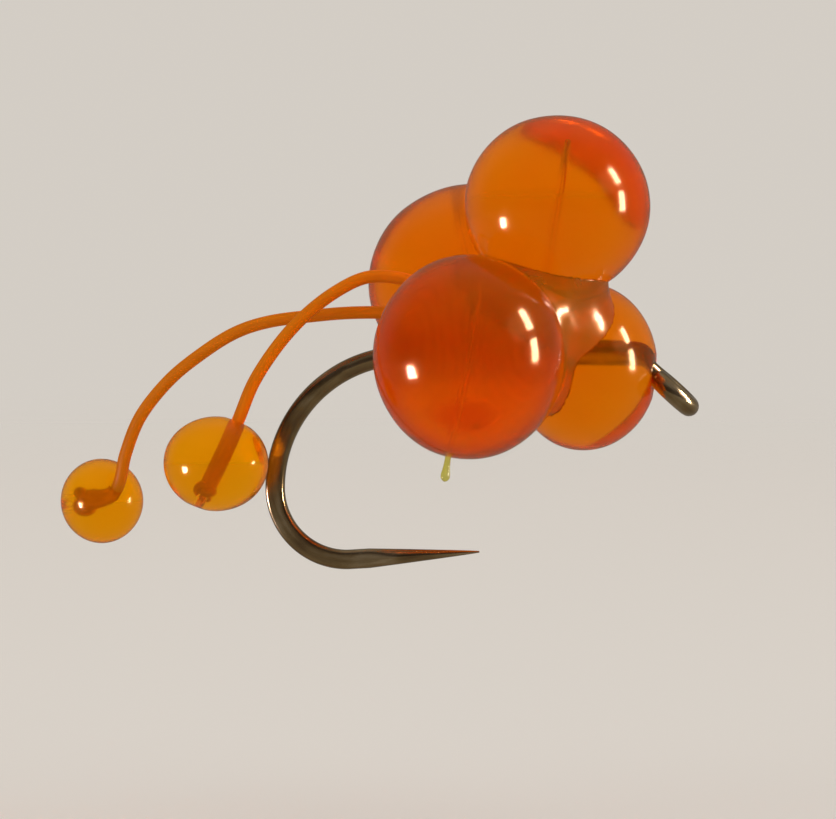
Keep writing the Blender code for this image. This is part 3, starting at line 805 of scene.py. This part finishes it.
def hook_sections():
    """Centre, up, side, half height and half width along the hook's wire."""
    along = np.array((math.cos(EYE_DROP), 0, -math.sin(EYE_DROP)))
    over = np.array((math.sin(EYE_DROP), 0, math.cos(EYE_DROP)))
    sideways = np.array((0.0, 1.0, 0.0))
    sections = []

    def add(centre, up, side, radius, flat=None):
        sections.append((centre, up, side, radius, radius if flat is None else flat))

    # Eye ring, from the wire's rounded-off end
    for k in range(RING_STEPS + 1):
        angle = EYE_CLOSES_AT + (EYE_OPENS_AT - EYE_CLOSES_AT) * k / RING_STEPS
        outward = sideways * math.sin(angle) - along * math.cos(angle)
        if k == 0:
            butt = np.cross(over, outward)
            for share, past in EYE_BUTT:
                add(outward * EYE_RADIUS + butt * past, over, outward, WIRE_RADIUS * share)
        add(outward * EYE_RADIUS, over, outward, WIRE_RADIUS)
    start = outward * EYE_RADIUS

    # Neck
    corner = SHANK_HEIGHT / math.sin(EYE_DROP)
    setback = NECK_BEND_RADIUS * math.tan(EYE_DROP / 2)
    leave = -(along * math.sin(EYE_OPENS_AT) + sideways * math.cos(EYE_OPENS_AT))
    end = -along * (corner - setback)
    reach = np.linalg.norm(end - start) * 0.4
    a, b, c, d = start, start + leave * reach, end + along * reach, end
    for k in range(1, NECK_STEPS + 1):
        t = k / NECK_STEPS
        s = 1 - t
        centre = a * s**3 + b * (3 * s * s * t) + c * (3 * s * t * t) + d * t**3
        heading = unit((b - a) * (s * s) + (c - b) * (2 * s * t) + (d - c) * (t * t))
        add(centre, over, np.cross(heading, over), WIRE_RADIUS)

    # Neck bend and shank
    bend_centre = end - over * NECK_BEND_RADIUS
    for k in range(1, NECK_BEND_STEPS + 1):
        angle = EYE_DROP * (1 - k / NECK_BEND_STEPS)
        up = np.array((math.sin(angle), 0, math.cos(angle)))
        add(bend_centre + up * NECK_BEND_RADIUS, up, sideways, WIRE_RADIUS)
    shank_start = sections[-1][0][0]
    for k in range(1, SHANK_STEPS):
        x = shank_start + (SHANK_END_X - shank_start) * k / SHANK_STEPS
        add(np.array((x, 0, SHANK_HEIGHT)), np.array((0, 0, 1.0)), sideways, WIRE_RADIUS)

    # Bends
    upper = np.array((SHANK_END_X, 0, SHANK_HEIGHT - UPPER_BEND_RADIUS))
    lower = upper - np.array((UPPER_BEND_RADIUS - LOWER_BEND_RADIUS, 0, 0))
    for k in range(BEND_STEPS + 1):
        angle = math.pi / 2 * k / BEND_STEPS
        up = np.array((-math.sin(angle), 0, math.cos(angle)))
        forged = min(1.0, max(0.0, (k / BEND_STEPS - FORGED_FROM) / (FORGED_BY - FORGED_FROM)))
        forged = forged * forged * (3 - 2 * forged)
        flat = WIRE_RADIUS - (WIRE_RADIUS - FORGED_HALF) * forged
        add(upper + up * UPPER_BEND_RADIUS, up, sideways, WIRE_RADIUS, flat)
    for k in range(1, BEND_STEPS + 1):
        angle = math.pi / 2 + (math.pi / 2 + POINT_RISE) * k / BEND_STEPS
        up = np.array((-math.sin(angle), 0, math.cos(angle)))
        add(lower + up * LOWER_BEND_RADIUS, up, sideways, WIRE_RADIUS, FORGED_HALF)

    # Point
    bottom, up = sections[-1][:2]
    heading = np.array((math.cos(POINT_RISE), 0, math.sin(POINT_RISE)))
    straight = POINT_LENGTH - TAPER_LENGTH
    for k in range(1, POINT_STEPS + 1):
        add(bottom + heading * straight * k / POINT_STEPS, up, sideways, WIRE_RADIUS, FORGED_HALF)
    for share in np.linspace(1, 0, TAPER_STEPS + 1)[1:]:
        radius = TIP_RADIUS + (WIRE_RADIUS - TIP_RADIUS) * share**TAPER_POWER
        flat = min(radius, FORGED_HALF + (1 - share) * TIP_FLARE)
        add(bottom + heading * (POINT_LENGTH - TAPER_LENGTH * share), up, sideways, radius, flat)
    return sections


def hook_shape(sections):
    """The hook's skin, with flat sides where its wire is forged."""
    angles = angles_round(HOOK_SIDES)
    rows = []
    for centre, up, side, radius, flat in sections:
        across = radius * np.sin(angles)
        if flat < radius:
            fuller = (1 + 2.5 * (radius - flat)) * across
            limit = np.abs(fuller) / flat
            across = fuller / (1 + limit**10) ** 0.1
        tall = radius * np.cos(angles)
        rows.append(centre + up * tall[:, None] + side * across[:, None])
    faces = grid_faces(len(rows), HOOK_SIDES) + end_faces(len(rows), HOOK_SIDES)
    wire = wire_places(lengths_along(np.array([section[0] for section in sections])), angles)
    return Shape().add(np.vstack(rows), faces, wire.reshape(-1, 3))


def wrap_section(x):
    """Height of the wrap's centre, its half height and its half width."""
    columns = np.array(WRAP_SECTIONS)
    return [np.interp(x, columns[:, 0], columns[:, k]) for k in (1, 2, 3)]


def wrap_shape():
    """A core of laid thread under one helix of thread wound from end to end."""
    xs = np.linspace(WRAP_SECTIONS[0][0], WRAP_SECTIONS[-1][0], WRAP_ROWS)
    slim = 1.3 * THREAD_RADIUS
    rows = []
    for x in xs:
        height, tall, wide = wrap_section(x)
        for angle in angles_round(WRAP_SIDES):
            rows.append((x, (wide - slim) * math.sin(angle), height + (tall - slim) * math.cos(angle)))
    shape = Shape()
    shape.add(np.array(rows), grid_faces(WRAP_ROWS, WRAP_SIDES) + end_faces(WRAP_ROWS, WRAP_SIDES))
    span = xs[-1] - xs[0] - 2 * THREAD_RADIUS
    turns = int(span / THREAD_PITCH)
    steps = turns * STEPS_PER_TURN
    helix = []
    for k in range(steps + 1):
        share = k / steps
        x = xs[0] + THREAD_RADIUS + span * share
        height, tall, wide = wrap_section(x)
        angle = 2 * math.pi * turns * share
        off = THREAD_RADIUS * (1 + 0.25 * noise.noise(Vector((k * 0.11, 3.0, 7.0))))
        helix.append((x, (wide - off) * math.sin(angle), height + (tall - off) * math.cos(angle)))
    thread = tube(np.array(helix), THREAD_RADIUS, THREAD_SIDES, first_side=np.array((1.0, 0.0, 0.0)))
    return shape.add(thread.points, thread.faces, thread.wire)


def stalk_shape(name):
    """A stalk's line. The top egg's ends inside the egg, and the others end in a melted drop."""
    route = smooth_route(STALK_ROUTES[name], STALK_STEPS)
    radii = np.full(len(route), STALK_RADIUS)
    if name == "stalk_top":
        return tube(route, radii, STALK_SIDES, rounded=(True, True))
    outward = unit(route[0] - route[1])
    shares = np.linspace(DROP_PROFILE[-1][0], DROP_PROFILE[0][0], DROP_ROWS)
    drop = route[0] + outward * (DROP_LENGTH * (shares - 0.5))[:, None]
    profile = np.interp(shares, *zip(*DROP_PROFILE))
    kept = lengths_along(route) > DROP_LENGTH
    return tube(np.vstack([drop, route[kept]]), np.concatenate([profile, radii[kept]]), STALK_SIDES)


def knot_shape(centre, direction):
    """An overhand knot pulled tight, as one closed strand."""
    t = angles_round(KNOT_STEPS)
    trefoil = [np.sin(t) + 2 * np.sin(2 * t), np.cos(t) - 2 * np.cos(2 * t), -1.3 * np.sin(3 * t)]
    loop = np.stack(trefoil, axis=1) * ((KNOT_RADIUS - KNOT_STRAND_RADIUS) / 3.0)
    forward = unit(direction)
    side = unit(np.cross(forward, (0.2, 1.0, 0.1)))
    turn = np.stack([side, np.cross(forward, side), forward], axis=1)
    loop = loop @ turn.T + centre
    after, before = np.roll(loop, -1, axis=0), np.roll(loop, 1, axis=0)
    tangents = unit(after - before)
    outward = unit(loop - centre)
    across = unit(outward - tangents * (outward * tangents).sum(1)[:, None])
    up = np.cross(tangents, across)
    angles = angles_round(KNOT_SIDES)
    ring = across[:, None] * np.cos(angles)[:, None] + up[:, None] * np.sin(angles)[:, None]
    points = loop[:, None] + ring * KNOT_STRAND_RADIUS
    faces = grid_faces(KNOT_STEPS, KNOT_SIDES, close_rows=True)
    return Shape().add(points.reshape(-1, 3), faces, wire_places(0.4 * t, angles).reshape(-1, 3))


def strand_lengths(which):
    """The strand cut midway between its hinges, so that each length holds one hinge."""
    route = smooth_route(STRAND_ROUTES[which])
    along = lengths_along(route)
    hinges = [k * ROUTE_STEPS for k in STRAND_HINGES[which]]
    halfway = [(along[a] + along[b]) / 2 for a, b in zip(hinges, hinges[1:])]
    cuts = [0] + [int(np.argmin(np.abs(along - length))) for length in halfway] + [len(route) - 1]
    tangents, sides, _ = frames_along(route)
    made = []
    for k, (start, end, hinge) in enumerate(zip(cuts, cuts[1:], hinges)):
        last = k == len(hinges) - 1
        stop = end if last else end + STRAND_TUCK
        radii = np.full(stop + 1 - start, STRAND_RADIUS)
        if not last:
            radii[-STRAND_TUCK:] = TUCKED_RADIUS
        piece = tube(route[start:stop + 1], radii, STRAND_SIDES, first_side=sides[start])
        piece.wire[:, 0] += along[start] - along[-1]
        made.append((piece, route[hinge], tangents[hinge], k))
    return made


# ---------------------------------------------------------------- stage


def direction(azimuth, elevation):
    """The way out from the object, azimuth degrees right of the camera and elevation degrees up."""
    a = VIEW_AZIMUTH + math.radians(azimuth)
    e = math.radians(elevation)
    return Vector((math.sin(a) * math.cos(e), -math.cos(a) * math.cos(e), math.sin(e)))


def add_camera():
    back = direction(0.0, math.degrees(VIEW_ELEVATION))
    camera = bpy.data.objects.new("camera", bpy.data.cameras.new("camera"))
    camera.location = (VIEW_TARGET + back * VIEW_DISTANCE) * MM
    camera.rotation_euler = (-back).to_track_quat("-Z", "Y").to_euler()
    camera.data.lens = VIEW_LENS
    camera.data.clip_start = 0.005
    camera.data.clip_end = 20.0
    bpy.context.scene.collection.objects.link(camera)
    bpy.context.scene.camera = camera


def add_light(name, azimuth, elevation, distance, width, height, radiance, tint, mirrored):
    """A soft rectangular light that faces the object, with the given radiance on its face."""
    data = bpy.data.lights.new(name, "AREA")
    data.shape = "RECTANGLE"
    data.size, data.size_y = width, height
    data.energy = radiance * math.pi * width * height
    data.color = tint
    light = bpy.data.objects.new(name, data)
    away = direction(azimuth, elevation)
    light.location = LIGHTS_AIM * MM + away * distance
    light.rotation_euler = away.to_track_quat("Z", "Y").to_euler()
    light.visible_camera = False
    light.visible_transmission = False
    light.visible_glossy = mirrored
    light.visible_diffuse = not mirrored
    bpy.context.scene.collection.objects.link(light)


def add_world():
    """A pale wall all round, with soft glows, that is dimmer where a surface mirrors it."""
    world = bpy.data.worlds.new("studio")
    bpy.context.scene.world = world
    n = Nodes(world, "Background")
    way = n.node("ShaderNodeTexCoord").outputs["Generated"]

    def along(toward):
        dot = n.node("ShaderNodeVectorMath", {0: way, 1: toward}, operation="DOT_PRODUCT")
        return dot.outputs["Value"]

    def eased(value, start, end, low, high):
        steps = n.node("ShaderNodeMapRange", data_type="FLOAT_VECTOR", interpolation_type="SMOOTHSTEP")
        n.tree.links.new(value, steps.inputs["Vector"])
        sockets = [socket for socket in steps.inputs if socket.enabled and socket.name != "Vector"]
        for socket, amounts in zip(sockets, ((start,) * 3, (end,) * 3, low, high)):
            socket.default_value = amounts
        return steps.outputs["Vector"]

    kinds, mirrored = n.rays()
    reflection = eased(along((0.0, 1.0, 0.0)), *ROOM_EDGE, MIRRORED_ROOM, MIRRORED_WALL)
    light = n.mixed(mirrored, WALL, reflection)
    for azimuth, elevation, core, rim, colour in GLOWS:
        start, end = math.cos(math.radians(rim)), math.cos(math.radians(core))
        glow = eased(along(direction(azimuth, elevation)), start, end, (0.0, 0.0, 0.0), colour)
        light = n.node("ShaderNodeVectorMath", {0: light, 1: glow}, operation="ADD").outputs[0]
    n.link(n.mixed(kinds["Is Camera Ray"], light, PALE), "Color")


def floor_material():
    """Pale and matt, dimmer where a surface mirrors it, and clear far from the object."""
    n = new_material("pale_floor")
    n.link(n.mixed(n.rays()[1], FLOOR, MIRRORED_FLOOR), "Base Color")
    n.set(Roughness=0.9, Specular_IOR_Level=0.0)
    size = n.node("ShaderNodeVectorMath", {0: n.place()}, operation="LENGTH").outputs["Value"]
    span = {"Value": size, "From Min": FLOOR_FADE[0] * MM, "From Max": FLOOR_FADE[1] * MM}
    fade = n.node("ShaderNodeMapRange", span, interpolation_type="SMOOTHSTEP").outputs["Result"]
    clear = n.node("ShaderNodeBsdfTransparent").outputs["BSDF"]
    both = n.node("ShaderNodeMixShader", {"Fac": fade, 1: n.shader.outputs["BSDF"], 2: clear})
    n.tree.links.new(both.outputs["Shader"], n.tree.nodes["Material Output"].inputs["Surface"])
    return n.owner


def add_floor():
    angles = angles_round(FLOOR_SIDES)
    heights = np.full(FLOOR_SIDES, FLOOR_HEIGHT)
    rim = np.stack([FLOOR_RADIUS * np.cos(angles), FLOOR_RADIUS * np.sin(angles), heights], axis=1)
    mesh = bpy.data.meshes.new("floor")
    mesh.from_pydata((rim * MM).tolist(), [], [tuple(range(FLOOR_SIDES))])
    mesh.materials.append(floor_material())
    floor = bpy.data.objects.new("floor", mesh)
    bpy.context.scene.collection.objects.link(floor)


# ---------------------------------------------------------------- the object

add_camera()
add_world()
add_floor()
for light_name, light in LIGHTS.items():
    add_light(light_name, *light)
bpy.context.scene.view_settings.view_transform = "Standard"

STEEL = steel_material()
THREAD = thread_material()
ORANGE = soft_egg("soft_orange_egg_look", (0.98, 0.43, 0.005), (0.95, 0.36, 0.002), (1.0, 0.82, 0.03))
AMBER = soft_egg("soft_amber_egg_look", (1.0, 0.55, 0.006), (1.0, 0.48, 0.004), (1.0, 0.84, 0.03))
ELASTIC = elastic_material()
SHADED_KNOT = knot_material()
MONO = mono_material()
RESIN = resin_material()

sections = hook_sections()
add_piece("hook_wire", hook_shape(sections), STEEL, ["hook"], "cluster")
add_piece("thread_windings", wrap_shape(), THREAD, ["thread_wrap"], "cluster")

# Big eggs: three on their stalks, and the lower one on the hook's own wire
hook_line = np.array([section[0] for section in sections])
for number, (egg_name, (egg_centre, egg_half)) in enumerate(EGGS.items()):
    if egg_name == "egg_lower":
        neck_on = hook_line[len(EYE_BUTT) + RING_STEPS + 1:]
        bore_line = neck_on[neck_on[:, 0] > LOWER_EGG_BEHIND]
        bore_size = WIRE_RADIUS - TIGHT
    else:
        bore_line = smooth_route(STALK_ROUTES[egg_name.replace("egg", "stalk")], STALK_STEPS)
        if egg_name == "egg_top":
            # This stalk ends inside its egg, so the hole is carried on to the skin
            ahead = bore_line[0] + unit(bore_line[0] - bore_line[1]) * np.linspace(1.2, 0.1, 8)[:, None]
            bore_line = np.vstack([ahead, bore_line])
        bore_size = STALK_BORE
    seed = FIRST_EGG_SEED + EGG_SEED_STEP * number
    egg = egg_shape(egg_centre, egg_half, bore_line, bore_size, contact_planes(egg_name), seed)
    add_piece(egg_name + "_skin", egg, ORANGE, [egg_name], "cluster", sharp=65.0)

for stalk_name in STALK_ROUTES:
    stalk = stalk_shape(stalk_name)
    add_piece(stalk_name + "_line", stalk, MONO, [stalk_name], "cluster")

# Resin
resin_low = np.minimum(RESIN_CENTRE - RESIN_HALF * RESIN_BOX, SKIRT_CENTRE - SKIRT_HALF * SKIRT_BOX)
resin_high = RESIN_CENTRE + RESIN_HALF * RESIN_BOX
resin_points, resin_faces = surface_net(resin_field, resin_low, resin_high, RESIN_CELL)
resin = Shape().add(settled(resin_points, resin_field, RESIN_CELL), resin_faces)
add_piece("resin_fillet", resin, RESIN, ["resin_core"], "cluster", sharp=40.0)

# Strands, their knots and small eggs
for strand_name, hinge_bodies in STRAND_BODIES.items():
    for shape, hinge_point, heading, k in strand_lengths(strand_name):
        piece_name = f"{strand_name}_strand_length_{k + 1}"
        nodes = STRAND_NODES[strand_name][k]
        piece = add_piece(piece_name, shape, ELASTIC, nodes, sharp=60.0)
        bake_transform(piece)
    tail = hinge_bodies[-1]
    line = smooth_route(STRAND_ROUTES[strand_name])
    onward = unit(line[-1] - line[-4])
    knot = knot_shape(line[-1], onward)
    add_piece(strand_name + "_knot", knot, SHADED_KNOT, [strand_name + "_stop_knot"], tail)
    beyond = line[-1] + onward * np.linspace(0.1, 2.5, 24)[:, None]
    bore_line = np.vstack([line[-5 * ROUTE_STEPS:], beyond])
    egg_centre, egg_half = SMALL_EGGS[strand_name]
    bore_size = [STRAND_RADIUS - TIGHT] * 10 + [KNOT_BORE] * 5
    seed = SMALL_EGG_SEEDS[strand_name]
    egg = egg_shape(egg_centre, egg_half, bore_line, bore_size, seed=seed, sides=72, rows=48)
    egg_name = strand_name + "_small_egg"
    add_piece(egg_name + "_skin", egg, AMBER, [egg_name], tail, sharp=65.0)
